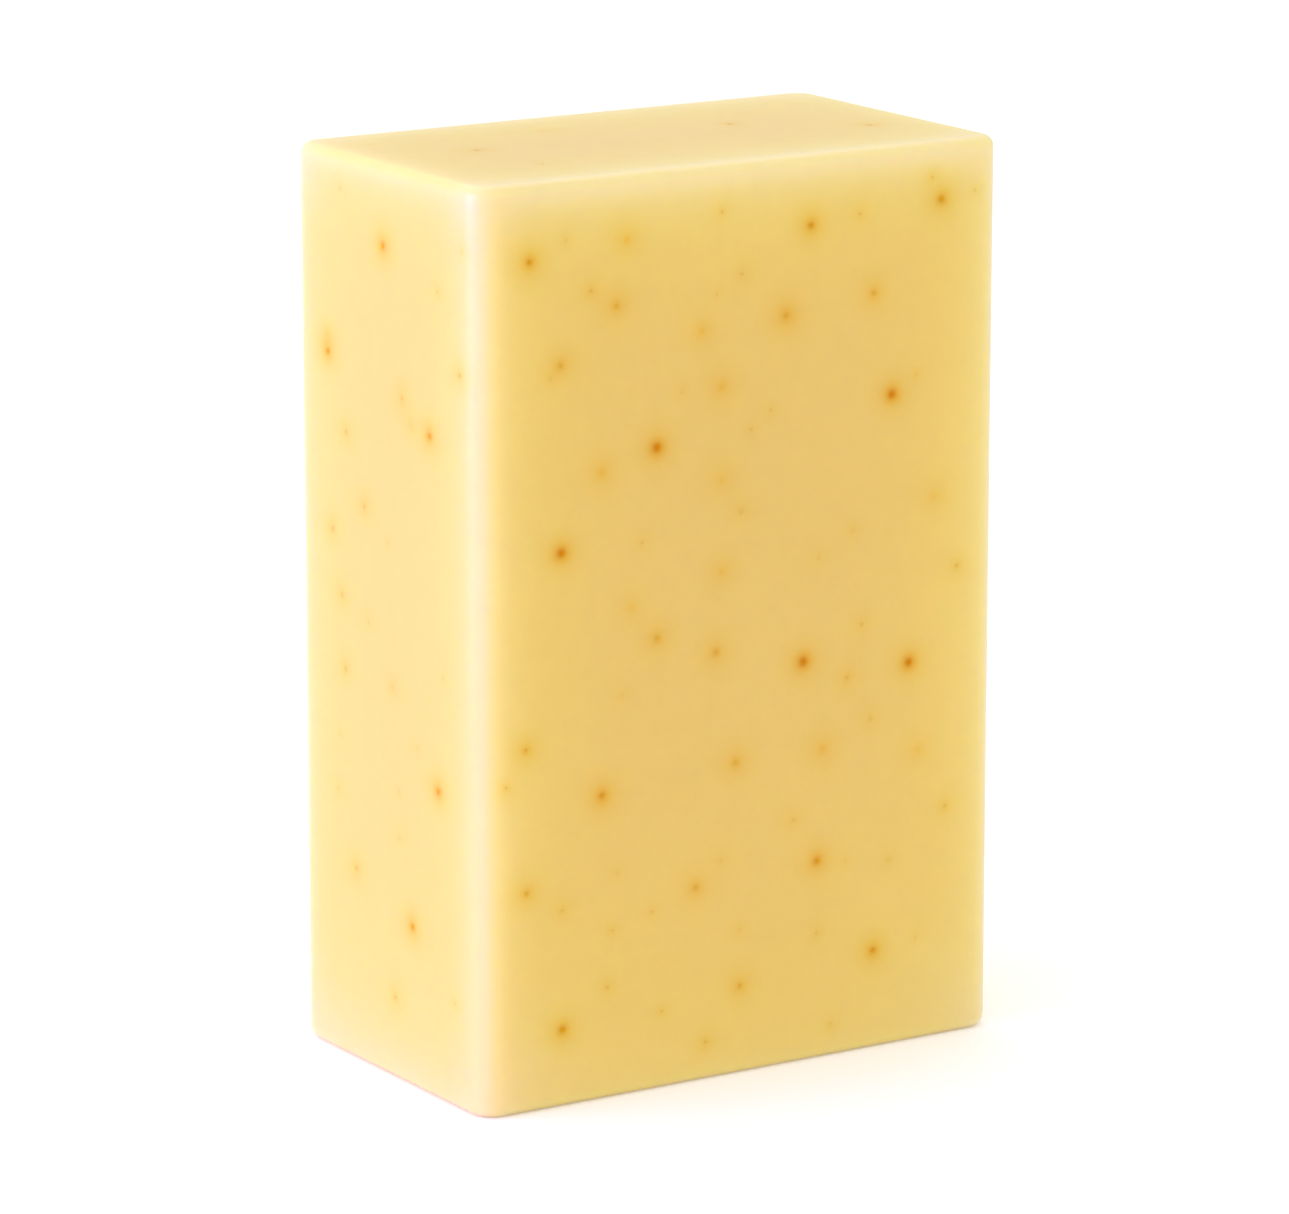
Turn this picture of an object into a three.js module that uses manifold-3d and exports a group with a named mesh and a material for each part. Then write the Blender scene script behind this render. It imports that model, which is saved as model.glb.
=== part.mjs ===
// A speckled bar of soap, standing on one of its short ends.
//
// Millimetres. The origin is the middle of the bottom end. +Z runs up the bar's longest side, +X along its
// width and +Y through its thickness, so the wide front face looks along -Y and the narrow left one along -X.
//
// The bar is one block of soap with hard grains of ground plant matter in it. Every grain that breaks the
// surface is a piece of its own. It lies in an open pocket in the block, sliced off just below the face.

import * as THREE from "three";
import { mergeVertices } from "three/addons/utils/BufferGeometryUtils.js";
import Module from "manifold-3d";

const wasm = await Module();
wasm.setup();

// The block.
const HEIGHT = 80;
const WIDTH = 53;
const DEPTH = 31;
const LONG_EDGE_RADIUS = 2.3; // the four upright edges
const END_RIM_RADIUS = 1.0; // the rim round each short end
const CORNER_STEPS = 8; // straight steps in each quarter turn of the outline
const RIM_STEPS = 4;

// The grains.
const LARGE_GRAIN = 0.9; // across, before it is sliced
const SMALL_GRAIN = 0.65;
const GRAIN_ROUGHNESS = 0.2; // how far a corner may move in or out, as a share of the grain's radius
const GRAIN_FLATNESS = 0.8; // how thick a grain is for its width
const GRAIN_SINK = 0.4; // how deep a grain's middle lies, as a share of its radius
const SLICE_DEPTH = 0.05; // the sliced side of a grain is this far below the face
const POCKET_GAP = 0.3; // clear space between a grain and the soap round it
const NARROWEST_GRAIN = 0.7; // the nearest a grain's side comes to its middle, as a share of its radius
const FACE_MARGIN = 4; // scattered grains keep this far from a face's edges

// Each face, as seen by someone who looks straight at it: its size, and the turn that brings a flat sheet
// lying face up, with its own up along +Y, to where the face is.
const RIGHT_ANGLE = Math.PI / 2;
const FACES = {
  front: { size: [WIDTH, HEIGHT], middle: [0, -DEPTH / 2, HEIGHT / 2], turn: [RIGHT_ANGLE, 0, 0] },
  left: { size: [DEPTH, HEIGHT], middle: [-WIDTH / 2, 0, HEIGHT / 2], turn: [RIGHT_ANGLE, -RIGHT_ANGLE, 0] },
  top: { size: [WIDTH, DEPTH], middle: [0, 0, HEIGHT], turn: [0, 0, 0] },
  back: { size: [WIDTH, HEIGHT], middle: [0, DEPTH / 2, HEIGHT / 2], turn: [RIGHT_ANGLE, 2 * RIGHT_ANGLE, 0] },
  right: { size: [DEPTH, HEIGHT], middle: [WIDTH / 2, 0, HEIGHT / 2], turn: [RIGHT_ANGLE, RIGHT_ANGLE, 0] },
  bottom: { size: [WIDTH, DEPTH], middle: [0, 0, 0], turn: [2 * RIGHT_ANGLE, 0, 0] },
};

// Where the grains lie on the three faces that are on show, as [right, up] from the middle of the face.
const PLACED_GRAINS = {
  front: {
    large: [
      [-21.5, 33.5], [6.5, 34], [20, 35], [15, 18.5], [-9, 16.5], [-18.5, 8.5],
      [6, -4], [17, -5.5], [-14.5, -13], [7.5, -22], [13.5, -31], [-18.5, -33],
    ],
    small: [
      [-13, 29], [13, 27.5], [4, 26.5], [-18.5, 24.5], [-9, 0], [-3, -2],
      [-22, -8], [-1, -12], [-22, -20.5], [-5, -22.5], [-0.5, -32],
    ],
  },
  left: {
    large: [[0, 33], [-9.5, 22.5], [7.5, 18], [8.5, -12.5], [4, -25.5]],
    small: [
      [12.5, 24], [3, 20.5], [-6.5, 16], [-3.5, 10], [-9, 7],
      [-7.5, 1.5], [-7, -5], [-5.5, -22.5], [1, -32.5],
    ],
  },
  top: {
    large: [[-16, 2]],
    small: [[10, 2.5], [20, -4.5]],
  },
};

// How many grains are scattered over each of the other faces.
const SCATTERED_GRAINS = {
  back: { large: 6, small: 6 },
  right: { large: 2, small: 3 },
  bottom: { large: 1, small: 1 },
};

const soapMaterial = () => new THREE.MeshStandardMaterial({ color: 0xebc873, roughness: 0.45, metalness: 0 });
const grainMaterial = () => new THREE.MeshStandardMaterial({ color: 0xb8700f, roughness: 0.6, metalness: 0 });

function solidFrom(geometry) {
  const bare = geometry.clone();
  bare.deleteAttribute("normal");
  bare.deleteAttribute("uv");
  const merged = mergeVertices(bare);
  const mesh = new wasm.Mesh({
    numProp: 3,
    vertProperties: new Float32Array(merged.attributes.position.array),
    triVerts: new Uint32Array(merged.index.array),
  });
  return new wasm.Manifold(mesh);
}

function geometryFrom(solid) {
  const mesh = solid.getMesh();
  const geometry = new THREE.BufferGeometry();
  geometry.setAttribute("position", new THREE.BufferAttribute(new Float32Array(mesh.vertProperties), 3));
  geometry.setIndex(new THREE.BufferAttribute(new Uint32Array(mesh.triVerts), 1));
  geometry.computeVertexNormals();
  return geometry;
}

// A rectangle with its four corners rounded, anticlockwise from the bottom edge.
function roundedRectangle(width, height, radius) {
  const x = width / 2 - radius;
  const y = height / 2 - radius;
  const outline = new THREE.Shape();
  outline.absarc(x, -y, radius, -RIGHT_ANGLE, 0);
  outline.absarc(x, y, radius, 0, RIGHT_ANGLE);
  outline.absarc(-x, y, radius, RIGHT_ANGLE, 2 * RIGHT_ANGLE);
  outline.absarc(-x, -y, radius, 2 * RIGHT_ANGLE, 3 * RIGHT_ANGLE);
  outline.closePath();
  return outline;
}

// The block before any pocket is cut: its outline pushed up from the bottom end, with both rims rounded.
function blockSolid() {
  const geometry = new THREE.ExtrudeGeometry(roundedRectangle(WIDTH, DEPTH, LONG_EDGE_RADIUS), {
    depth: HEIGHT - 2 * END_RIM_RADIUS,
    curveSegments: CORNER_STEPS,
    bevelThickness: END_RIM_RADIUS,
    bevelSize: END_RIM_RADIUS,
    bevelOffset: -END_RIM_RADIUS,
    bevelSegments: RIM_STEPS,
  });
  geometry.translate(0, 0, END_RIM_RADIUS);
  return solidFrom(geometry);
}

// An uneven crumb round its own middle, different for each number. growth makes it wider all round.
function crumbSolid(radius, number, growth) {
  const bare = new THREE.IcosahedronGeometry(radius, 0);
  bare.deleteAttribute("normal");
  bare.deleteAttribute("uv");
  const crumb = mergeVertices(bare);
  const corner = new THREE.Vector3();
  for (let i = 0; i < crumb.attributes.position.count; i += 1) {
    const push = 1 + GRAIN_ROUGHNESS * Math.sin(7 * number + 5 * i);
    corner.fromBufferAttribute(crumb.attributes.position, i).multiplyScalar(push * growth);
    crumb.attributes.position.setXYZ(i, corner.x, corner.y * GRAIN_FLATNESS, corner.z);
  }
  crumb.rotateZ(number);
  crumb.translate(0, 0, -GRAIN_SINK * radius - SLICE_DEPTH);
  return solidFrom(crumb);
}

// What lies deeper than the slice, in a frame whose z = 0 is the face.
function belowSlice() {
  const reach = 2 * LARGE_GRAIN;
  const box = new THREE.BoxGeometry(2 * reach, 2 * reach, reach);
  box.translate(0, 0, -reach / 2 - SLICE_DEPTH);
  return solidFrom(box);
}

function grainGeometry(radius, number) {
  return geometryFrom(crumbSolid(radius, number, 1).intersect(belowSlice()));
}

// The space round a grain, cut out of the block. It reaches out past the face, so the pocket is open.
function pocketSolid(radius, number, placeInBar) {
  const growth = 1 + POCKET_GAP / (NARROWEST_GRAIN * GRAIN_FLATNESS * radius);
  const pocket = geometryFrom(crumbSolid(radius, number, growth));
  pocket.applyMatrix4(placeInBar);
  return solidFrom(pocket);
}

// Places spread evenly but without rows over a face, by the plastic number's sequence. It never closes up.
function scatteredPlaces(count, [width, height]) {
  const plastic = 1.3247;
  const places = [];
  for (let i = 1; i <= count; i += 1) {
    const across = (0.3 + i / plastic) % 1;
    const along = (0.8 + i / plastic ** 2) % 1;
    places.push([(across - 0.5) * (width - 2 * FACE_MARGIN), (along - 0.5) * (height - 2 * FACE_MARGIN)]);
  }
  return places;
}

// The grains of one face, each with its place on the face and its size across.
function grainsOf(faceName) {
  if (faceName in PLACED_GRAINS) {
    const { large, small } = PLACED_GRAINS[faceName];
    return [
      ...large.map((place) => ({ place, size: LARGE_GRAIN })),
      ...small.map((place) => ({ place, size: SMALL_GRAIN })),
    ];
  }
  const { large, small } = SCATTERED_GRAINS[faceName];
  const places = scatteredPlaces(large + small, FACES[faceName].size);
  return places.map((place, i) => ({ place, size: i < large ? LARGE_GRAIN : SMALL_GRAIN }));
}

// A group that lies on a face, with the face's right along its x, its up along its y and the outside along z.
function faceGroup({ middle, turn }) {
  const face = new THREE.Group();
  face.position.set(...middle);
  face.rotation.set(...turn);
  return face;
}

const group = new THREE.Group();
let block = blockSolid();
let number = 0;

for (const faceName of Object.keys(FACES)) {
  const face = faceGroup(FACES[faceName]);
  group.add(face);
  grainsOf(faceName).forEach(({ place, size }, i) => {
    number += 1;
    const grain = new THREE.Mesh(grainGeometry(size / 2, number), grainMaterial());
    grain.name = `${faceName}_grain_${String(i + 1).padStart(2, "0")}`;
    grain.position.set(place[0], place[1], 0);
    face.add(grain);
    group.updateMatrixWorld(true);
    block = block.subtract(pocketSolid(size / 2, number, grain.matrixWorld));
  });
}

const body = new THREE.Mesh(geometryFrom(block), soapMaterial());
body.name = "bar_body";
group.add(body);

export default group;
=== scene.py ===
"""The looks of a speckled bar of soap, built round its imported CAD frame.

Everything is in metres and in the CAD's frame: +Z runs up the bar's longest side, the wide front face looks
along -Y and the narrow left face along -X. The bar is a translucent block with hard grains sliced off flush
with its faces, and the oil of each grain has spread into the soap round it as a soft orange stain.
"""

import math
import random
from typing import NamedTuple

import bmesh
import bpy
import numpy as np
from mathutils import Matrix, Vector, noise
from mathutils.geometry import delaunay_2d_cdt


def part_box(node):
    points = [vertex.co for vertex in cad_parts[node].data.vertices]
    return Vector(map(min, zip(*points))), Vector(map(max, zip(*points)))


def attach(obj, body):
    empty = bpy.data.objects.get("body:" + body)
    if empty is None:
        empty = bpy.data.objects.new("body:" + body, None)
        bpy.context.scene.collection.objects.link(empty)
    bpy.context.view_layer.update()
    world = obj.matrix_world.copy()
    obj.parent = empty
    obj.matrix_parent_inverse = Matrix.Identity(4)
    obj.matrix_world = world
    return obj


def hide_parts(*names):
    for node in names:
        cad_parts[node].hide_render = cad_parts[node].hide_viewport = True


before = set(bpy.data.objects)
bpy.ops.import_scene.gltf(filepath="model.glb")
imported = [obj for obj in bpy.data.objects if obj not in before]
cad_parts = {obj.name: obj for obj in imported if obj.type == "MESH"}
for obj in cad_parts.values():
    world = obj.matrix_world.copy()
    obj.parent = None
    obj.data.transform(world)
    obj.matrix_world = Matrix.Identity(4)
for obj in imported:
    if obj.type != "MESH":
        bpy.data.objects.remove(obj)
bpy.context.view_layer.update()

SEED = 20

MM = 0.001
CM = 10 * MM
QUARTER_TURN = math.pi / 2
GOLDEN_ANGLE = math.pi * (3 - math.sqrt(5))

# The block, as in the CAD.
BLOCK_LOW, BLOCK_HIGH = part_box("bar_body")
WIDTH, DEPTH, HEIGHT = BLOCK_HIGH - BLOCK_LOW
MIDDLE = (BLOCK_LOW + BLOCK_HIGH) / 2
LONG_EDGE_RADIUS = 2.3 * MM
END_RIM_RADIUS = 1.0 * MM

# How finely the block's surface is divided.
FLAT_STEP = 1.0 * MM
CORNER_STEP = 0.3 * MM
RIM_STEPS = 6
SPECK_POINTS = 170  # extra surface points round one speck
SPECK_REACH = 2.0 * MM  # how far they spread
SPECK_CROWDING = 0.9  # 0.5 spreads them evenly, and more crowds them to the middle
STEP_SLACK = 1e-6  # a length that is a whole number of steps, but for rounding, gets that number
MERGE_GAP = 1e-5  # points closer than this become one, in millimetres

# How the surface departs from true flats. All of it goes inwards, so the block stays in its CAD box.
WAVE_LENGTH = 17 * MM
WAVE_DEPTH = 0.03 * MM
DIMPLE_DEPTH = 0.10 * MM

# The stain round a speck falls off as two exponentials: the core close to the grain, and the wide halo.
CORE_FALL = 0.35 * MM
STAIN_END = 3.2 * MM
STAIN_LEAVES = (0.87, 0.46, 0.004)  # the share of red, green and blue that one unit of stain leaves


class Edge(NamedTuple):
    """A kind of edge: how much painted light it gets, how far from it that starts to fall off, and how
    slowly.
    """

    weight: float
    start: float
    fall: float


class EdgeLightGain(NamedTuple):
    """How the painted edge light brightens one colour channel: gain * edge light ** power, but not above
    most. Where that painted light is warmest, only the warm share of that is left."""

    gain: float
    power: float
    most: float
    warm_light_share: float


# Painted light along the block's edges: the base colour is brightened there to stand for the light that glows
# through the soap and shines off its rounded edges. It is 1 on a long edge and falls off over the faces.
EDGES = {
    "long": Edge(1.0, 0.67 * MM, 1.6 * MM),
    "narrow_top": Edge(0.50, 1.0 * MM, 1.6 * MM),
    "wide_top": Edge(1.0, 1.0 * MM, 1.7 * MM),
    "narrow_foot": Edge(0.60, 0.8 * MM, 3.5 * MM),
    "wide_foot": Edge(0.26, 0.8 * MM, 3.0 * MM),
}
EDGE_LIGHT_GAINS = {
    "red": EdgeLightGain(gain=0.08, power=0.12, most=0.08, warm_light_share=1.0),
    "green": EdgeLightGain(gain=0.31, power=0.34, most=0.27, warm_light_share=0.65),
    "blue": EdgeLightGain(gain=2.05, power=1.0, most=1.95, warm_light_share=1.0),
}

# The painted edge light is warmer, which is less green, on the narrow faces and towards the foot.
WARM_LIGHT_SHARPNESS = 3  # how soon the narrow faces' warmer painted light ends round a long edge
WARM_LIGHT_FOOT = 3.0 * MM  # how far up the foot's warmer painted light reaches


class Face(NamedTuple):
    """One flat face of the block, as seen by someone who looks straight at it."""

    middle: Vector
    right: Vector
    up: Vector
    half_width: float
    half_height: float

    @property
    def out(self):
        return self.right.cross(self.up)

    def at(self, right_mm, up_mm):
        """The point that is so many millimetres right of and above the face's middle."""
        return self.middle + self.right * right_mm * MM + self.up * up_mm * MM


class Kind(NamedTuple):
    """A kind of speck: its dimple's radius and its halo's fall, in millimetres, and its stain's strength."""

    dimple: float
    core: float
    halo: float
    halo_fall: float


class Speck(NamedTuple):
    """A stained spot: its place, how wide its grain is, the radius of the dimple over it, and its stain. The
    grain and the dimple may be 0."""

    place: Vector
    face: str
    grain: float
    dimple: float
    core: float
    halo: float
    halo_fall: float


def make_face(right, up):
    """The block's face that has these directions as its right and up."""
    right, up = Vector(right), Vector(up)
    out = right.cross(up)
    half = Vector((WIDTH, DEPTH, HEIGHT)) / 2
    reach = [abs(half.dot(Vector(abs(c) for c in axis))) for axis in (right, up, out)]
    return Face(MIDDLE + out * reach[2], right, up, reach[0], reach[1])


FACES = {
    "front": make_face((1, 0, 0), (0, 0, 1)),
    "left": make_face((0, -1, 0), (0, 0, 1)),
    "top": make_face((1, 0, 0), (0, 1, 0)),
    "back": make_face((-1, 0, 0), (0, 0, 1)),
    "right": make_face((0, 1, 0), (0, 0, 1)),
    "bottom": make_face((1, 0, 0), (0, -1, 0)),
}

KINDS = {
    "dark": Kind(dimple=0.24, core=1.20, halo=0.34, halo_fall=1.1),
    "strong": Kind(dimple=0.21, core=0.50, halo=0.33, halo_fall=1.1),
    "wide": Kind(dimple=0.16, core=0.15, halo=0.36, halo_fall=1.1),
    "weak": Kind(dimple=0.15, core=0.24, halo=0.22, halo_fall=1.1),
    "buried": Kind(dimple=0.00, core=0.14, halo=0.16, halo_fall=1.1),
    "faint": Kind(dimple=0.10, core=0.14, halo=0.10, halo_fall=0.9),
    "dust": Kind(dimple=0.07, core=0.11, halo=0.05, halo_fall=0.6),
}
DARK_GRAINS = ["front_grain_04", "front_grain_05", "front_grain_06", "front_grain_07", "front_grain_08"]
WIDE_GRAINS = ["front_grain_15", "top_grain_01", "top_grain_02", "top_grain_03"]
STRONG_GRAIN = 0.67 * MM  # a grain wider than this stains strongly, and any other weakly
FAINTER_FACES = {"left": 0.6, "top": 0.6}  # the share of its strength that a stain has there
NEVER_FAINTER = ["dark", "strong"]  # but not these kinds, which are as strong on every face

# Specks with no CAD grain on the faces that are on show, as [right, up] in millimetres from the face's
# middle. Buried ones lie under the surface and only tint it. Faint ones and dust are the finest grains.
PLACED_SPECKS = {
    "front": {
        "buried": [
            (-12, 34.5), (-2.5, 21), (-14.5, 15), (-2.5, 13), (19.5, 9), (-2.5, 5), (8, -12),
            (-4.5, 26), (-11.5, 3), (18, -13.5),
        ],
        "faint": [
            (-0.5, 10), (12, -1.5), (21, -19), (13, -10), (5, -18), (-18.5, -22.5), (-14, -30),
            (-4, -36.5), (-15.5, 30.5), (-0.5, 30.5), (11.5, 34.5), (-2.5, 36), (22, 2.5),
            (10.5, -6), (7.5, -28.5), (-24, -11),
        ],
        "dust": [
            (9, -37), (18, -30.5), (-3, 29), (-12.5, -4.5), (-10.5, 8.5), (7.5, 5), (2.5, 18.5), (0.5, 17),
            (17.5, 20), (-6.5, 21), (-2.5, -20.5), (-13, -20), (-9.5, -24), (-13.5, -25), (-0.5, -27),
            (10.5, -22.5), (15, -23), (-8.5, -33), (11, 7), (19, 37), (23.5, 35.5), (-18, 35), (-19.5, 23.5),
        ],
    },
    "left": {
        "buried": [(4.5, 18.5), (-9.5, 24)],
        "faint": [(9, 30.5), (1, -5), (-3, 0), (-8.5, -16), (2, -18), (11, -30.5)],
        "dust": [
            (13, 34.5), (9.5, -2.5), (-8, -11), (5, -9.5), (-7, 37), (0.5, 7.5), (2, -14),
        ],
    },
    "top": {
        "buried": [(-5.5, 8)],
        "faint": [(-15, -7)],
        "dust": [(-22, 9.5)],
    },
}

# On the other faces such specks are scattered: how many to a square centimetre, and how far from the edges.
SCATTERED_PER_CM2 = {"buried": 0.22, "faint": 0.30, "dust": 0.45}
FACE_MARGIN = 3 * MM

# How wide the grain of such a speck is, and how far one speck may differ from the next of its kind.
FINE_GRAIN = {"buried": 0.0, "faint": 0.34 * MM, "dust": 0.24 * MM}
STRENGTH_RANGE = (0.75, 1.25)
GRAIN_RANGE = (0.8, 1.2)
SPREAD_RANGE = (0.85, 1.2)


# Specks ---------------------------------------------------------------------------------------------------


def kind_of_grain(node, size):
    """The kind of speck that a CAD grain makes."""
    if node in DARK_GRAINS:
        return "dark"
    if node in WIDE_GRAINS:
        return "wide"
    return "strong" if size > STRONG_GRAIN else "weak"


def make_speck(place, face_name, grain, kind_name, strength=1.0, spread=1.0):
    """A speck of a kind, with its stain made stronger or weaker and its halo wider or narrower."""
    kind = KINDS[kind_name]
    if kind_name not in NEVER_FAINTER:
        strength *= FAINTER_FACES.get(face_name, 1.0)
    fall = kind.halo_fall * spread * MM
    return Speck(place, face_name, grain, kind.dimple * MM, kind.core * strength, kind.halo * strength, fall)


def grain_specks():
    """One speck for each CAD grain, by node name."""
    specks = {}
    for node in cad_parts:
        if "_grain_" not in node:
            continue
        face_name = node.split("_")[0]
        face = FACES[face_name]
        low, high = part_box(node)
        centre = (low + high) / 2
        place = centre + face.out * (face.middle - centre).dot(face.out)
        size = max(high - low)
        specks[node] = make_speck(place, face_name, size, kind_of_grain(node, size))
    return specks


def scattered_places(face, count, dice):
    """Random places on a face, away from its edges."""
    places = []
    for _ in range(count):
        right = dice.uniform(-1, 1) * (face.half_width - FACE_MARGIN) / MM
        up = dice.uniform(-1, 1) * (face.half_height - FACE_MARGIN) / MM
        places.append((right, up))
    return places


def fine_specks():
    """The specks that have no CAD grain, on every face."""
    dice = random.Random(SEED)
    specks = []
    for face_name, face in FACES.items():
        area_cm2 = 4 * face.half_width * face.half_height / CM**2
        for kind_name, fine_grain in FINE_GRAIN.items():
            if face_name in PLACED_SPECKS:
                places = PLACED_SPECKS[face_name][kind_name]
            else:
                count = round(SCATTERED_PER_CM2[kind_name] * area_cm2)
                places = scattered_places(face, count, dice)
            for right, up in places:
                strength = dice.uniform(*STRENGTH_RANGE)
                grain = fine_grain * dice.uniform(*GRAIN_RANGE)
                spread = dice.uniform(*SPREAD_RANGE)
                specks.append(make_speck(face.at(right, up), face_name, grain, kind_name, strength, spread))
    return specks


# What the specks do to the block's surface, and the light painted along its edges
# ------------------------------
# Each function takes the surface's points as an array and gives an array of one number for each.


def as_array(vectors):
    """The vectors' coordinates, a row for each."""
    return np.array([tuple(v) for v in vectors])


def stain_at(points, specks):
    """How much stain there is at each point."""
    stain = np.zeros(len(points))
    for speck in specks:
        away = np.linalg.norm(points - np.array(speck.place), axis=1)
        near = away < STAIN_END
        r = away[near]
        spread = speck.core * np.exp(-r / CORE_FALL) + speck.halo * np.exp(-r / speck.halo_fall)
        fade = 1 - (r / STAIN_END) ** 2
        stain[near] += spread * fade
    return stain


def dimples_at(points, specks):
    """How deep the soap has sunk at each point, in metres."""
    depth = np.zeros(len(points))
    for speck in specks:
        if speck.dimple == 0:
            continue
        away = np.linalg.norm(points - np.array(speck.place), axis=1)
        depth = np.maximum(depth, DIMPLE_DEPTH * np.exp(-((away / speck.dimple) ** 2)))
    return depth


def painted_edge_light_at(points):
    """How much painted edge light there is at each point, from 0 to 1. Where edges meet, they add up."""
    to_low = points - np.array(BLOCK_LOW)
    to_high = np.array(BLOCK_HIGH) - points
    to_narrow, to_wide, _ = np.minimum(to_low, to_high).T
    to_foot, to_top = to_low[:, 2], to_high[:, 2]
    gaps = {
        "long": np.maximum(to_narrow, to_wide),
        "narrow_top": np.maximum(to_narrow, to_top),
        "wide_top": np.maximum(to_wide, to_top),
        "narrow_foot": np.maximum(to_narrow, to_foot),
        "wide_foot": np.maximum(to_wide, to_foot),
    }
    unpaled = np.ones(len(points))
    for name, gap in gaps.items():
        edge = EDGES[name]
        unpaled *= 1 - edge.weight * np.exp(-np.maximum(gap - edge.start, 0) / edge.fall)
    return 1 - unpaled


def edge_light_warmth_at(points, outs):
    """How much warmer, which is less green, the painted edge light is at each point, from 0 to 1."""
    narrow = np.abs(outs[:, 0]) ** WARM_LIGHT_SHARPNESS
    foot = np.exp(-points[:, 2] / WARM_LIGHT_FOOT)
    return np.maximum(narrow, foot)


# The block's outline --------------------------------------------------------------------------------------
# It runs anticlockwise from the start of the right face, and its sides come in this order.

SIDE_ORDER = ["right", "back", "left", "front"]
SIDE_LENGTHS = [DEPTH - 2 * LONG_EDGE_RADIUS, WIDTH - 2 * LONG_EDGE_RADIUS] * 2
SIDE_REACHES = [WIDTH / 2, DEPTH / 2] * 2  # how far each side is from the middle
CORNER_LENGTH = QUARTER_TURN * LONG_EDGE_RADIUS


def heading(angle):
    """The level direction at an angle anticlockwise from +X."""
    return Vector((math.cos(angle), math.sin(angle), 0))


def side_start(side):
    """How far round the outline a side starts."""
    return sum(SIDE_LENGTHS[:side]) + side * CORNER_LENGTH


PERIMETER = side_start(len(SIDE_ORDER))


def on_outline(travel, inset=0.0):
    """The point of the outline, drawn in by inset, that is travel metres round it, and its outward
    direction."""
    travel %= PERIMETER
    for side, length in enumerate(SIDE_LENGTHS):
        out = heading(QUARTER_TURN * side)
        along = heading(QUARTER_TURN * (side + 1))
        half = length / 2
        if travel < 2 * half:
            return out * (SIDE_REACHES[side] - inset) + along * (travel - half), out
        travel -= 2 * half
        if travel < CORNER_LENGTH:
            turned = heading(QUARTER_TURN * side + travel / LONG_EDGE_RADIUS)
            centre = out * (SIDE_REACHES[side] - LONG_EDGE_RADIUS) + along * half
            return centre + turned * (LONG_EDGE_RADIUS - inset), turned
        travel -= CORNER_LENGTH
    return on_outline(0, inset)


def even_steps(start, length, step):
    """Distances from start, at most step apart, that stop short of start + length."""
    count = math.ceil(length / step - STEP_SLACK)
    return [start + length * i / count for i in range(count)]


def outline_stops():
    """How far round the outline each column of the block's mesh stands."""
    stops = []
    for side, length in enumerate(SIDE_LENGTHS):
        start = side_start(side)
        stops += even_steps(start, length, FLAT_STEP)
        stops += even_steps(start + length, CORNER_LENGTH, CORNER_STEP)
    return stops


# Flat sheets of triangles, fine round the specks ----------------------------------------------------------


def sunflower(count, reach):
    """Points of a sunflower head, crowded towards the middle."""
    for i in range(count):
        radius = reach * (i / count) ** SPECK_CROWDING
        yield radius * math.cos(GOLDEN_ANGLE * i), radius * math.sin(GOLDEN_ANGLE * i)


def refined(base_points, speck_places, inside):
    """The base points, with those near a speck swapped for a sunflower of points round it. A sunflower keeps
    to the points that are nearer to its own speck than to any other, and that are inside the sheet."""
    places = np.array(speck_places).reshape(-1, 2)
    base = np.array(base_points)
    if len(places):
        gaps = np.linalg.norm(base[:, None] - places[None], axis=2).min(axis=1)
        base = base[gaps > SPECK_REACH]
    points = base.tolist()
    for own, (x, y) in enumerate(places):
        for dx, dy in sunflower(SPECK_POINTS, SPECK_REACH):
            point = np.array((x + dx, y + dy))
            nearest = np.linalg.norm(places - point, axis=1).argmin()
            if nearest == own and inside(*point):
                points.append(point.tolist())
    return points


def triangulated(border, inner):
    """Triangles over a sheet: its points, the triangles, and each point's number in border + inner. None of
    the points moves."""
    given = border + inner
    flat = [Vector(p) / MM for p in given]
    _, _, triangles, origins, _, _ = delaunay_2d_cdt(flat, [], [], 0, MERGE_GAP)
    sources = [group[0] for group in origins]
    return [given[i] for i in sources], [tuple(t) for t in triangles], sources


def wall_sheet(specks):
    """The four sides, unrolled, as triangulated gives it. Its points are (travel, height), and the first ones
    go up the outline's stops in pairs, one at the foot and one at the top."""
    low, high = END_RIM_RADIUS, HEIGHT - END_RIM_RADIUS
    stops = outline_stops() + [PERIMETER]
    levels = even_steps(low, high - low, FLAT_STEP) + [high]
    border = [(s, z) for s in stops for z in (low, high)]
    border += [(s, z) for s in (0.0, PERIMETER) for z in levels[1:-1]]
    inner = [(s, z) for s in stops[1:-1] for z in levels[1:-1]]
    places = []
    for speck in specks:
        if speck.face in SIDE_ORDER:
            side = SIDE_ORDER.index(speck.face)
            along = speck.place.dot(heading(QUARTER_TURN * (side + 1)))
            places.append((side_start(side) + SIDE_LENGTHS[side] / 2 + along, speck.place.z))
    margin = FLAT_STEP / 4

    def inside(s, z):
        return margin < s < PERIMETER - margin and low + margin < z < high - margin

    return triangulated(border, refined(inner, places, inside))


def end_sheet(specks, face_name):
    """A flat end inside its rim, as triangulated gives it. Its points are (x, y), and the first ones go round
    the outline's stops."""
    border = [on_outline(s, END_RIM_RADIUS)[0].to_2d().to_tuple() for s in outline_stops()]
    half_x, half_y = WIDTH / 2 - END_RIM_RADIUS, DEPTH / 2 - END_RIM_RADIUS
    corner = LONG_EDGE_RADIUS - END_RIM_RADIUS
    margin = FLAT_STEP / 4

    def inside(x, y):
        past_x = max(abs(x) - (half_x - corner), 0)
        past_y = max(abs(y) - (half_y - corner), 0)
        return math.hypot(past_x, past_y) < corner - margin

    columns = even_steps(-half_x, 2 * half_x, FLAT_STEP)
    rows = even_steps(-half_y, 2 * half_y, FLAT_STEP)
    inner = [(x, y) for x in columns for y in rows if inside(x, y)]
    places = [speck.place.to_2d().to_tuple() for speck in specks if speck.face == face_name]
    return triangulated(border, refined(inner, places, inside))


# The block ------------------------------------------------------------------------------------------------


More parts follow.
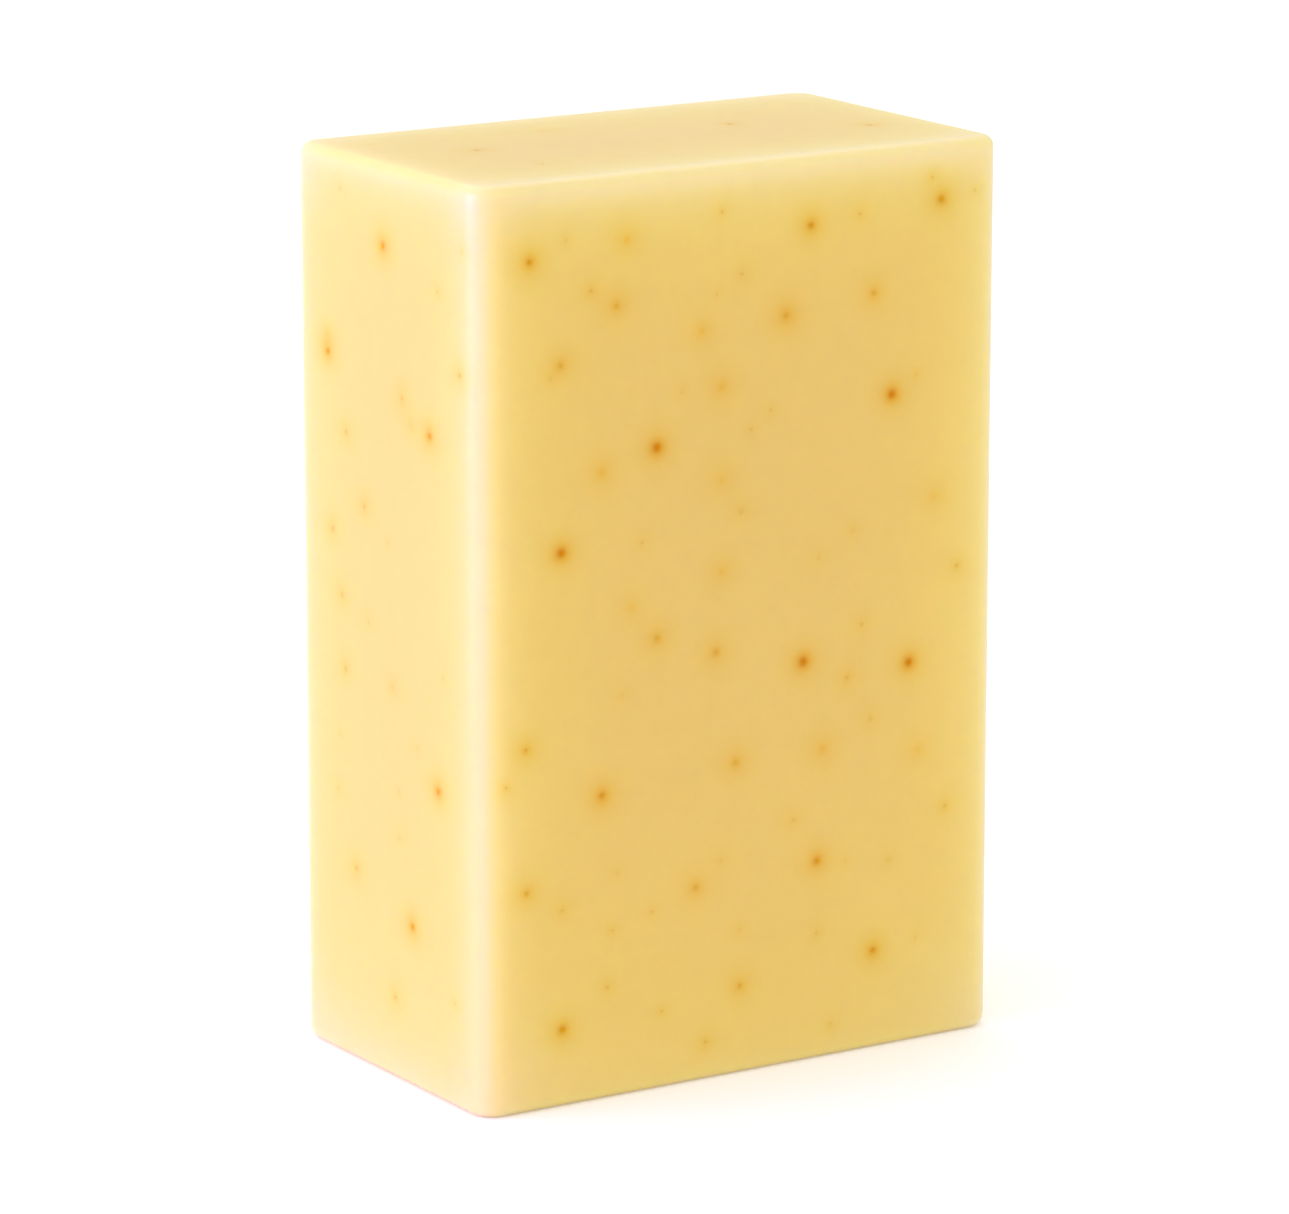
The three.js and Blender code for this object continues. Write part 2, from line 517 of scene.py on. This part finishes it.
class Surface:
    """The block's surface, with true flats: its points, their outward directions, and its triangles."""

    def __init__(self):
        self.points = []
        self.outs = []
        self.triangles = []

    def add_point(self, x, y, z, out):
        """Adds a point and gives its number."""
        self.points.append(Vector((x, y, z)))
        self.outs.append(out)
        return len(self.points) - 1

    def add_triangles(self, triangles, numbers, flipped=False):
        """Adds a sheet's triangles. The numbers say which point of the surface each of its points is."""
        for triangle in triangles:
            corners = tuple(numbers[i] for i in triangle)
            self.triangles.append(corners[::-1] if flipped else corners)


def add_rim(surface, top):
    """Adds the rounded rim of one end, and gives its rings of points, from the sides to the flat end."""
    rise = 1 if top else -1
    level = HEIGHT - END_RIM_RADIUS if top else END_RIM_RADIUS
    rings = []
    for step in range(RIM_STEPS + 1):
        angle = QUARTER_TURN * step / RIM_STEPS
        inset = END_RIM_RADIUS * (1 - math.cos(angle))
        z = level + rise * END_RIM_RADIUS * math.sin(angle)
        ring = []
        for stop in outline_stops():
            place, out = on_outline(stop, inset)
            tilted = out * math.cos(angle) + Vector((0, 0, rise * math.sin(angle)))
            ring.append(surface.add_point(place.x, place.y, z, tilted))
        rings.append(ring)
    for lower, upper in zip(rings, rings[1:]):
        for i, here in enumerate(lower):
            following = (i + 1) % len(lower)
            quad = [here, lower[following], upper[following], upper[i]]
            surface.add_triangles([(0, 1, 2), (0, 2, 3)], quad if top else quad[::-1])
    return rings


def add_sides(surface, specks, foot_ring, top_ring):
    """Adds the four sides, joined to the rims and closed up where the outline starts and ends."""
    places, triangles, sources = wall_sheet(specks)
    columns = len(foot_ring)
    seam = {}
    numbers = []
    for (travel, z), source in zip(places, sources):
        column, at_top = divmod(source, 2)
        on_seam = travel in (0.0, PERIMETER)
        if column <= columns:
            ring = top_ring if at_top else foot_ring
            numbers.append(ring[column % columns])
        elif on_seam and z in seam:
            numbers.append(seam[z])
        else:
            place, out = on_outline(travel)
            number = surface.add_point(place.x, place.y, z, out)
            numbers.append(number)
            if on_seam:
                seam[z] = number
    surface.add_triangles(triangles, numbers)


def add_end(surface, specks, rim_ring, top):
    """Adds one flat end, joined to its rim."""
    places, triangles, sources = end_sheet(specks, "top" if top else "bottom")
    z = HEIGHT if top else 0.0
    out = Vector((0, 0, 1 if top else -1))
    numbers = []
    for (x, y), source in zip(places, sources):
        on_rim = source < len(rim_ring)
        numbers.append(rim_ring[source] if on_rim else surface.add_point(x, y, z, out))
    surface.add_triangles(triangles, numbers, flipped=not top)


def block_surface(specks):
    """The whole block's surface: both rims, the four sides and the two ends."""
    surface = Surface()
    foot_rim = add_rim(surface, top=False)
    top_rim = add_rim(surface, top=True)
    add_sides(surface, specks, foot_rim[0], top_rim[0])
    add_end(surface, specks, foot_rim[-1], top=False)
    add_end(surface, specks, top_rim[-1], top=True)
    return surface


def waves_at(points):
    """How deep the block's slow waves are at each of the points, in metres."""
    waves = np.array([noise.noise(p / WAVE_LENGTH) for p in points])
    return WAVE_DEPTH * (0.5 + 0.5 * np.clip(waves, -1, 1))


def put_attribute(mesh, name, values):
    """Stores one number for each of the mesh's points."""
    attribute = mesh.attributes.new(name, "FLOAT", "POINT")
    attribute.data.foreach_set("value", values)


def make_block(specks):
    """The soap itself, which stands for the CAD block."""
    surface = block_surface(specks)
    flat = as_array(surface.points)
    outs = as_array(surface.outs)
    depth = waves_at(surface.points) + dimples_at(flat, specks)
    shaped = flat - outs * depth[:, None]
    mesh = bpy.data.meshes.new("soap_block")
    mesh.from_pydata(shaped.tolist(), [], surface.triangles)
    mesh.shade_smooth()
    put_attribute(mesh, "stain", stain_at(flat, specks))
    # Painted light: how much the base colour is brightened along the edges for the glow through the soap and
    # the sheen on them.
    put_attribute(mesh, "painted_edge_light", painted_edge_light_at(flat))
    # Where the painted edge light is warmer, which is less green: on the narrow faces and towards the foot.
    put_attribute(mesh, "edge_light_warmth", edge_light_warmth_at(flat, outs))
    mesh.materials.append(soap_material())
    block = bpy.data.objects.new("soap_block", mesh)
    bpy.context.scene.collection.objects.link(block)
    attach(block, "root")
    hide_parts("bar_body")


# The grains -----------------------------------------------------------------------------------------------
# Lengths that end in _SHARE are shares of a grain's radius.

SLICE_DEPTH = 0.05 * MM  # the sliced side of a grain is this far below the face
SLICE_SHARE = 0.4  # a grain is sliced this far above its middle
BULGE_SHARE = 0.15  # how uneven a grain is before it is chipped
BULGES = 1.5  # how many bulges there are to a grain's radius
CHIPS = 9  # flat chips broken off one grain
CHIP_SHARES = (0.72, 0.95)  # how far from a grain's middle the chips are
CHIP_FACING = 0.2  # a chip takes nothing where the surface faces it less than this, as a cosine
GRIT_DEPTH = 0.006 * MM  # how rough the sliced side is
GRITS = 5  # how many bumps of that there are to a grain's radius
CAD_GRAIN_DETAIL = 3  # the subdivisions of the ball that a grain starts as
FINE_GRAIN_DETAIL = 2


def add_crumb(mesh, speck, number, detail):
    """Adds one grain to a bmesh: a lump with flats broken off it, sliced just below the face."""
    face = FACES[speck.face]
    dice = random.Random(SEED + number)
    radius = speck.grain / 2
    chips = []
    for _ in range(CHIPS):
        chip = Vector(dice.gauss(0, 1) for _ in range(3)).normalized()
        chips.append((chip, dice.uniform(*CHIP_SHARES)))
    lump = bmesh.ops.create_icosphere(mesh, subdivisions=detail, radius=1)
    for vertex in lump["verts"]:
        way = vertex.co.normalized()
        reach = 1 + BULGE_SHARE * noise.noise(way * BULGES + Vector((number, 0, 0)))
        for chip, distance in chips:
            facing = way.dot(chip)
            if facing > CHIP_FACING:
                reach = min(reach, distance / facing)
        local = way * reach * radius
        grit = GRIT_DEPTH * noise.noise(way * GRITS + Vector((0, number, 0)))
        rise = min(local.z - SLICE_SHARE * radius, 0) - SLICE_DEPTH + grit
        vertex.co = speck.place + face.right * local.x + face.up * local.y + face.out * rise


def make_crumbs(name, specks, numbers, detail):
    """One piece that holds a grain for each of the specks. A grain's number settles its shape."""
    lumps = bmesh.new()
    for speck, number in zip(specks, numbers):
        add_crumb(lumps, speck, number, detail)
    mesh = bpy.data.meshes.new(name)
    lumps.to_mesh(mesh)
    lumps.free()
    mesh.shade_smooth()
    places = as_array(vertex.co for vertex in mesh.vertices)
    put_attribute(mesh, "stain", stain_at(places, specks))
    mesh.materials.append(grain_material())
    piece = bpy.data.objects.new(name, mesh)
    bpy.context.scene.collection.objects.link(piece)
    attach(piece, "root")
    return piece


def make_grains(specks_by_node, specks):
    """A piece for each CAD grain, and one for all the finest grains, which the CAD leaves out."""
    for number, (node, speck) in enumerate(sorted(specks_by_node.items())):
        piece = make_crumbs(node + "_crumb", [speck], [number], CAD_GRAIN_DETAIL)
        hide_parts(node)
    fine = [speck for speck in specks if speck.grain > 0]
    numbers = range(len(specks_by_node), len(specks_by_node) + len(fine))
    make_crumbs("fine_grains", fine, numbers, FINE_GRAIN_DETAIL)


# Materials ------------------------------------------------------------------------------------------------

# The Mix node names its sockets alike for every type of data. These are the numbers of its colour sockets.
MIX_A, MIX_B, MIX_RESULT = 6, 7, 2


class Graph:
    """A material's nodes, with short ways to add and join them."""

    def __init__(self, name):
        self.material = bpy.data.materials.new(name)
        self.material.use_nodes = True
        self.tree = self.material.node_tree
        self.shader = self.tree.nodes["Principled BSDF"]
        self.place = self.tree.nodes.new("ShaderNodeTexCoord").outputs["Object"]

    def add(self, kind, **settings):
        node = self.tree.nodes.new(kind)
        for name, value in settings.items():
            setattr(node, name, value)
        return node

    def put(self, socket, value):
        """Joins value to a socket if it is a socket itself, or else writes it there."""
        if isinstance(value, bpy.types.NodeSocket):
            self.tree.links.new(value, socket)
        else:
            socket.default_value = value

    def set(self, name, value):
        """Joins or writes value to one of the shader's own sockets."""
        self.put(self.shader.inputs[name], value)

    def noise(self, size, detail=2, stretch=(1, 1, 1)):
        """Noise whose features are about size metres across, and longer along an axis by its stretch."""
        mapping = self.add("ShaderNodeMapping")
        self.put(mapping.inputs["Vector"], self.place)
        mapping.inputs["Scale"].default_value = [1 / s for s in stretch]
        node = self.add("ShaderNodeTexNoise")
        self.put(node.inputs["Vector"], mapping.outputs[0])
        node.inputs["Scale"].default_value = 1 / size
        node.inputs["Detail"].default_value = detail
        return node.outputs["Fac"]

    def attribute(self, name):
        """The number that the mesh stores under this name."""
        return self.add("ShaderNodeAttribute", attribute_name=name).outputs["Fac"]

    def math(self, operation, a, b):
        node = self.add("ShaderNodeMath", operation=operation)
        self.put(node.inputs[0], a)
        self.put(node.inputs[1], b)
        return node.outputs[0]

    def span(self, value, low, high, start=0, end=1):
        """Stretches a value that runs from start to end to run from low to high."""
        node = self.add("ShaderNodeMapRange")
        self.put(node.inputs["Value"], value)
        node.inputs["From Min"].default_value = start
        node.inputs["From Max"].default_value = end
        node.inputs["To Min"].default_value = low
        node.inputs["To Max"].default_value = high
        return node.outputs[0]

    def colour(self, red, green, blue):
        node = self.add("ShaderNodeCombineColor")
        for channel, value in zip(("Red", "Green", "Blue"), (red, green, blue)):
            self.put(node.inputs[channel], value)
        return node.outputs[0]

    def mix(self, factor, a, b, blend="MIX"):
        """Colour a where the factor is 0, and where it is 1, b or what the blend makes of both."""
        node = self.add("ShaderNodeMix", data_type="RGBA", blend_type=blend)
        self.put(node.inputs["Factor"], factor)
        self.put(node.inputs[MIX_A], a)
        self.put(node.inputs[MIX_B], b)
        return node.outputs[MIX_RESULT]

    def multiply(self, colour, by):
        return self.mix(1.0, colour, by, blend="MULTIPLY")

    def bump(self, height, strength, distance, under=None):
        """A surface direction for the Normal socket, with this bump laid over the one under it."""
        node = self.add("ShaderNodeBump")
        node.inputs["Strength"].default_value = strength
        node.inputs["Distance"].default_value = distance
        self.put(node.inputs["Height"], height)
        if under is not None:
            self.put(node.inputs["Normal"], under)
        return node.outputs[0]

    def dye(self):
        """What the mesh's stain leaves of a colour under it."""
        stain = self.attribute("stain")
        return self.colour(*(self.math("POWER", leaves, stain) for leaves in STAIN_LEAVES))

    def edge_light_gain(self):
        """How many times brighter the painted edge light that the mesh carries makes a colour."""
        painted_edge_light = self.attribute("painted_edge_light")
        edge_light_warmth = self.attribute("edge_light_warmth")
        gains = []
        for edge_light_gain in EDGE_LIGHT_GAINS.values():
            grown = self.math("MULTIPLY", self.math("POWER", painted_edge_light, edge_light_gain.power), edge_light_gain.gain)
            capped = self.math("MINIMUM", grown, edge_light_gain.most)
            share = self.span(edge_light_warmth, 1.0, edge_light_gain.warm_light_share)
            gains.append(self.math("ADD", self.math("MULTIPLY", capped, share), 1.0))
        return self.colour(*gains)


# Colours in pairs are the two ends of what clouds or flecks vary between.
SOAP_COLOURS = (0.742, 0.523, 0.114, 1), (0.722, 0.503, 0.106, 1)
STRAW_COLOURS = (0.78, 0.57, 0.30, 1), (0.69, 0.48, 0.24, 1)
FLOOR_COLOURS = (0.93, 0.93, 0.93, 1), (0.96, 0.96, 0.96, 1)

# How far light of each colour spreads inside the soap: a length, and the share of it for red, green and blue.
SCATTER_LENGTH = 4.0 * MM
SCATTER_SHARES = (1.00, 0.85, 0.30)

# How strongly clean soap mirrors. That starts to fall at the first stain and is gone at the second.
CLEAN_GLOSS = 0.5
GLOSS_STAINS = (0.12, 1.2)


def soap_material():
    """Waxy translucent soap: clouded pale yellow, with painted light along the edges for the glow through the
    soap and the sheen on them, dyed orange and dulled by the stain that its mesh carries, with a fine grain
    and long faint drag marks in its surface."""
    g = Graph("soap_wax")
    clouds = g.mix(g.noise(14 * MM), *SOAP_COLOURS)
    mottled = g.multiply(clouds, g.span(g.noise(2.2 * MM, detail=4), 0.97, 1.03))
    # The base colour carries painted edge light as well as the clouds and the stain.
    g.set("Base Color", g.multiply(g.multiply(mottled, g.edge_light_gain()), g.dye()))
    g.set("Roughness", g.span(g.noise(5 * MM, detail=3), 0.40, 0.50))
    grain = g.bump(g.noise(0.35 * MM, detail=3), strength=0.12, distance=0.02 * MM)
    marks = g.noise(1.1 * MM, detail=2, stretch=(1, 1, 14))
    g.set("Normal", g.bump(marks, strength=0.10, distance=0.03 * MM, under=grain))
    g.set("Subsurface Weight", 1.0)
    g.set("Subsurface Radius", SCATTER_SHARES)
    g.set("Subsurface Scale", SCATTER_LENGTH)
    g.set("IOR", 1.46)
    gloss = g.span(g.attribute("stain"), CLEAN_GLOSS, 0.0, *GLOSS_STAINS)
    g.set("Specular IOR Level", gloss)
    g.set("Coat Weight", gloss)
    g.set("Coat Roughness", 0.35)
    return g.material


def grain_material():
    """Ground plant husk soaked in its own stain: straw with darker flecks, slightly rough."""
    if "grain_husk" in bpy.data.materials:
        return bpy.data.materials["grain_husk"]
    g = Graph("grain_husk")
    straw = g.mix(g.noise(0.25 * MM, detail=3), *STRAW_COLOURS)
    g.set("Base Color", g.multiply(straw, g.dye()))
    g.set("Roughness", g.span(g.noise(0.3 * MM), 0.45, 0.70))
    g.set("Specular IOR Level", 0.05)
    g.set("Normal", g.bump(g.noise(0.12 * MM, detail=4), strength=0.5, distance=0.02 * MM))
    return g.material


def floor_material():
    """A pale seamless studio sweep with the faintest unevenness, lit from below."""
    g = Graph("floor_sweep")
    g.set("Base Color", g.mix(g.noise(0.2), *FLOOR_COLOURS))
    g.set("Roughness", g.span(g.noise(0.05), 0.75, 0.85))
    g.set("Emission Color", (1, 1, 1, 1))
    g.set("Emission Strength", FLOOR_GLOW)
    return g.material


# The studio -----------------------------------------------------------------------------------------------

CAMERA_AZIMUTH = math.radians(-32.5)
CAMERA_ELEVATION = math.radians(13.2)
CAMERA_DISTANCE = 7.04 * HEIGHT
CAMERA_LENS = 180  # in millimetres
CAMERA_SENSOR = 36  # its width, in millimetres
NEAREST_SEEN = 10 * MM
AIM_RIGHT = -0.004 * HEIGHT  # the camera looks just past the bar's middle
AIM_UP = -0.018 * HEIGHT
FLOOR_SIZE = 3.0
FLOOR_GLOW = 0.16  # how strongly the floor, a white panel, is lit from below
STUDIO_SLOPE = 0.22  # how much brighter than the middle the studio is on the far left


def direction(azimuth, elevation):
    """The way to something seen from the bar. Azimuth 0 is straight in front and grows anticlockwise."""
    level = math.cos(elevation)
    return Vector((math.sin(azimuth) * level, -math.cos(azimuth) * level, math.sin(elevation)))


def aim(thing, way):
    """Turns a camera or a lamp to look along a direction."""
    thing.rotation_mode = "QUATERNION"
    thing.rotation_quaternion = way.to_track_quat("-Z", "Y")


def make_camera():
    """The camera, at the angle that shows the front, the left face and the top."""
    back = direction(CAMERA_AZIMUTH, CAMERA_ELEVATION)
    right = Vector((0, 0, 1)).cross(back).normalized()
    up = back.cross(right)
    camera = bpy.data.objects.new("camera", bpy.data.cameras.new("camera"))
    camera.data.lens = CAMERA_LENS
    camera.data.sensor_width = CAMERA_SENSOR
    camera.data.clip_start = NEAREST_SEEN
    camera.location = MIDDLE + right * AIM_RIGHT + up * AIM_UP + back * CAMERA_DISTANCE
    aim(camera, -back)
    bpy.context.scene.collection.objects.link(camera)
    bpy.context.scene.camera = camera


def make_softbox(name, azimuth, elevation, distance, size, brightness, colour=(1, 1, 1)):
    """A square soft light aimed at the bar, from angles in degrees. Brightness is about how bright it makes
    white paper there."""
    light = bpy.data.lights.new(name, "AREA")
    light.shape = "SQUARE"
    light.size = size
    light.color = colour
    light.energy = brightness * 4 * math.pi * distance**2
    way = direction(math.radians(azimuth), math.radians(elevation))
    lamp = bpy.data.objects.new(name, light)
    lamp.location = MIDDLE + way * distance
    aim(lamp, -way)
    bpy.context.scene.collection.objects.link(lamp)


def make_lights():
    """A violet key low on the left, which yellow soap turns cream, and a faint white one behind and above."""
    make_softbox("key_left", -100, 6, distance=0.60, size=0.36, brightness=0.5, colour=(0.95, 0.46, 1.66))
    make_softbox("white_key_above_behind", 160, 60, distance=0.60, size=0.50, brightness=0.11)


def make_world():
    """A white studio all round, a little brighter on the left than on the right."""
    world = bpy.data.worlds.new("studio")
    world.use_nodes = True
    bpy.context.scene.world = world
    tree = world.node_tree
    way = tree.nodes.new("ShaderNodeTexCoord").outputs["Generated"]
    split = tree.nodes.new("ShaderNodeSeparateXYZ")
    tree.links.new(way, split.inputs[0])
    slope = tree.nodes.new("ShaderNodeMapRange")
    tree.links.new(split.outputs["X"], slope.inputs["Value"])
    slope.inputs["From Min"].default_value = -1
    slope.inputs["From Max"].default_value = 1
    slope.inputs["To Min"].default_value = 1 + STUDIO_SLOPE
    slope.inputs["To Max"].default_value = 1 - STUDIO_SLOPE
    background = tree.nodes["Background"]
    background.inputs["Color"].default_value = (1, 1, 1, 1)
    tree.links.new(slope.outputs[0], background.inputs["Strength"])


def make_floor():
    """The floor that the bar stands on, which isn't part of it."""
    half = FLOOR_SIZE / 2
    corners = [(-half, -half, 0), (half, -half, 0), (half, half, 0), (-half, half, 0)]
    mesh = bpy.data.meshes.new("floor")
    mesh.from_pydata(corners, [], [(0, 1, 2, 3)])
    mesh.materials.append(floor_material())
    floor = bpy.data.objects.new("floor", mesh)
    bpy.context.scene.collection.objects.link(floor)


make_camera()
specks_by_grain = grain_specks()
other_specks = fine_specks()
make_block([*specks_by_grain.values(), *other_specks])
make_grains(specks_by_grain, other_specks)
make_floor()
make_lights()
make_world()

# Colours are shown as they are, with no film curve.
bpy.context.scene.view_settings.view_transform = "Standard"
